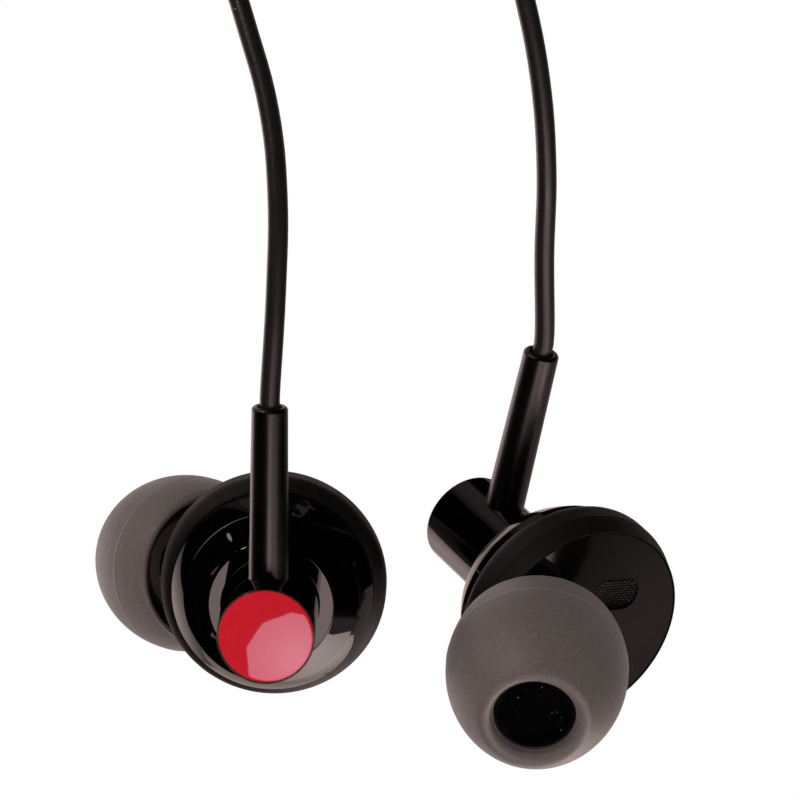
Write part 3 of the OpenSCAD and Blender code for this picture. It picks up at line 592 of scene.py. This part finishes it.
splitter_t, splitter_w, side_round, end_round = 3.4, 5.6, 1.68, 0.4
block = bmesh.new()
bmesh.ops.create_cube(block, size=1, matrix=Matrix.Diagonal((splitter_t, splitter_w, splitter_l, 1)))
upright = [e for e in block.edges if abs(e.verts[0].co.z - e.verts[1].co.z) > splitter_l / 2]
rounded(block, upright, side_round, segments=10)
near_end = splitter_l / 2 - 0.1
ends = [e for e in block.edges if min(abs(v.co.z) for v in e.verts) > near_end and e.is_manifold
        and len({round(f.normal.z) for f in e.link_faces}) == 2]
rounded(block, ends, end_round, segments=4)
bmesh.ops.translate(block, vec=(0, 0, -splitter_l / 2), verts=block.verts[:])
splitter_body = piece("splitter_block", block, stand(splitter_at), soft_moulding)
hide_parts("splitter")
sleeve = turned(grooved(relief_l / 2, start_r=1.3, end_r=1.3, grooves=3, deep=0.18), steps=48)
on_splitter = stand(splitter_at - Vector((0, 0, splitter_l)), (180, 0, 0))
splitter_sleeve = piece("splitter_sleeve", sleeve, on_splitter, soft_moulding)

# ---------------------------------------------------------------- plug
# A straight stereo plug: a grooved sleeve, a round moulded handle, and gilt contacts
# kept apart by black rings.
on_plug = stand(plug_at, (0, 90, 0))
sleeve = turned(grooved(relief_l, start_r=1.4, end_r=1.98, grooves=5, deep=0.22), steps=64)
plug_sleeve = piece("plug_bend_relief", sleeve, on_plug, soft_moulding)
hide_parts("plug_relief")
handle_r, handle_l, grip_round = 3.2, 15.0, 0.5
grip_end = relief_l + handle_l
grip = [(0, relief_l), (handle_r, relief_l, grip_round), (handle_r, grip_end, grip_round), (0, grip_end)]
handle = piece("plug_grip", turned(grip, steps=96), on_plug, soft_moulding)
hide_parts("plug_handle")
gilt = finish_of("gilt contact", (0.83, 0.60, 0.24), (0.12, 0.2), 2500, 0.0008, tone=0.03, metallic=1.0)
for name in ("plug_sleeve", "plug_ring", "plug_tip"):
    dress(name, gilt)
dress("plug_insulators", inside["driver_frame"])

# ---------------------------------------------------------------- floor and light
# A pale table under plain white surroundings, which light everything evenly. Gloss
# doesn't mirror those, because all of it would turn grey; it mirrors glowing cards
# instead, which stand where a studio has its lamps, paper and walls and leave the rest
# black. Cards with fill light matt surfaces as well. The camera sees none of them.
heart = Vector((-0.0065, -0.0095, -0.0795))
right_heart = Vector((0.018, -0.008, -0.079))
warm, white_light = (1.0, 0.80, 0.745), (1.0, 1.0, 1.0)


def towards(bearing, height):
    """Unit vector; bearing 0 is the camera's side and 90 the right, in degrees."""
    b, h = radians(bearing), radians(height)
    return Vector((sin(b) * cos(h), -cos(b) * cos(h), sin(h)))


def disc(bearing, height, half_angle, sides, turn=0):
    """Directions of the corners of a round card."""
    middle = towards(bearing, height)
    wide = Vector((0, 0, 1)).cross(middle).normalized() * sin(radians(half_angle))
    spins = [Matrix.Rotation(tau * (k + 0.5) / sides + radians(turn), 3, middle) for k in range(sides)]
    return [middle + spin @ wide for spin in spins]


def card(name, corners, distance, strength, colour=warm, origin=heart, gloss=True, fill=False,
         fade=0.0, facing=None):
    """A flat glowing card that spans some directions from origin, at a distance in metres;
    gloss and fill say which kind of reflection it lights, fade how much dimmer its edge is."""
    middle = facing or sum(corners, Vector()).normalized()
    bm = bmesh.new()
    bm.faces.new([bm.verts.new(origin + way * (distance / way.dot(middle))) for way in corners])
    mesh = bpy.data.meshes.new(name)
    bm.to_mesh(mesh)
    bm.free()
    glow = bpy.data.materials.new(name)
    glow.use_nodes = True
    tree = glow.node_tree
    tree.nodes.clear()
    emit = add(tree, "ShaderNodeEmission", Color=(*colour, 1), Strength=strength)
    if fade:
        centre = origin + middle * distance
        reach = max((vert.co - centre).length for vert in mesh.vertices)
        here = add(tree, "ShaderNodeTexCoord").outputs["Object"]
        off = add(tree, "ShaderNodeVectorMath", Vector=here)
        off.operation = "DISTANCE"
        off.inputs[1].default_value = centre
        glowing = add(tree, "ShaderNodeMapRange", Value=off.outputs["Value"], From_Max=reach,
                      To_Min=strength, To_Max=strength * (1 - fade))
        glowing.interpolation_type = "SMOOTHSTEP"
        tree.links.new(glowing.outputs[0], emit.inputs["Strength"])
    add(tree, "ShaderNodeOutputMaterial", Surface=emit.outputs[0])
    mesh.materials.append(glow)
    made = bpy.data.objects.new(name, mesh)
    made.visible_camera = False
    made.visible_glossy = gloss
    made.visible_diffuse = fill
    made.visible_shadow = False
    scene.collection.objects.link(made)


def panel(*corners):
    """Directions of a card's corners, each given as a bearing and a height."""
    return [towards(bearing, height) for bearing, height in corners]


def patch(left, right, low, high):
    """Directions of the corners of an upright card."""
    return panel((left, low), (right, low), (right, high), (left, high))


# In front: a many-sided umbrella, low, with a dimmer side of its own.
card("umbrella", disc(4.3, -35.4, 12.0, 10, 7), 0.36, 4.9, fill=True, fade=0.35)
card("umbrella_side", patch(19, 61, -50, -24), 0.40, 1.9)
# On the right: a soft box below the earpieces, cut away where it would light the covers.
soft_box = panel((63.5, -36.4), (33.6, -80.8), (160, -79), (178, -60), (176, -34), (164, -26),
                 (134, -26), (122, -32), (115, -37), (104, -35.5), (73.4, -33.7))
card("soft_box", soft_box, 0.115, 4.5, fade=0.85, facing=towards(108, -57))
# High on the left: a small lamp, a dim spot and a curved strip.
card("lamp", disc(-39, 37, 3.5, 12), 0.45, 34, fill=True)
card("spot", disc(-62, 41, 1.7, 8), 0.45, 4.2)
strip = panel((-88, 12), (-78, 34), (-66, 50), (-44, 61), (-48, 68), (-72, 56), (-86, 38), (-95, 14))
card("strip_high", strip, 0.45, 3.4, fade=0.8)
# Behind and on both sides: a window, white paper, a grey wall and the ceiling.
card("window_left", patch(-160, -118, -27, 24), 0.36, 1.9, fade=0.9)
card("paper_left", patch(-194, -119, -35, 35), 0.42, 0.72)
card("paper_high", patch(-185, -119, 35, 55), 0.42, 0.5)
card("paper_right", patch(118, 164, -38, 35), 0.42, 0.3)
card("paper_low", patch(110, 180, -60, -38), 0.40, 0.9)
card("grey_wall", patch(68, 126, -46, -20), 0.30, 0.34, origin=right_heart, fade=0.6)
card("ceiling", disc(-140, 72, 26, 4), 0.50, 0.12)
card("ceiling_middle", disc(-140, 74, 15, 12), 0.48, 0.24)
# A card close over the plug's contacts, and a fill that gloss doesn't mirror.
over_contacts = plug_at * mm + Vector((0.025, 0, 0))
card("above_plug", disc(0, 89, 30, 12), 0.06, 0.3, origin=over_contacts)
card("fill_left", disc(-33, -15, 26, 4), 0.34, 2.6, white_light, gloss=False, fill=True)

table_r, table_z = 1.4, -0.38
table_mesh = bpy.data.meshes.new("table")
bm = bmesh.new()
bmesh.ops.create_circle(bm, cap_ends=True, segments=96, radius=table_r,
                        matrix=Matrix.Translation((0, 0, table_z)))
bm.to_mesh(table_mesh)
bm.free()
table = bpy.data.objects.new("table", table_mesh)
table.visible_glossy = False
scene.collection.objects.link(table)
pale = bpy.data.materials.new("pale table")
pale.use_nodes = True
surface = pale.node_tree.nodes["Principled BSDF"]
surface.inputs["Base Color"].default_value = (0.86, 0.85, 0.84, 1)
surface.inputs["Roughness"].default_value = 0.9
table_mesh.materials.append(pale)

# The surroundings light the set less than they show themselves.
light_level, shown_level = 0.63, 1.0
world = bpy.data.worlds.new("studio")
scene.world = world
world.use_nodes = True
world.cycles_visibility.glossy = False
tree = world.node_tree
tree.nodes.clear()
ray = add(tree, "ShaderNodeLightPath")
seen = maths(tree, "MAXIMUM", ray.outputs["Is Camera Ray"], ray.outputs["Is Transmission Ray"])
level = add(tree, "ShaderNodeMapRange", Value=seen, To_Min=light_level, To_Max=shown_level)
around = add(tree, "ShaderNodeBackground", Color=(1, 1, 1, 1), Strength=level.outputs[0])
add(tree, "ShaderNodeOutputWorld", Surface=around.outputs[0])
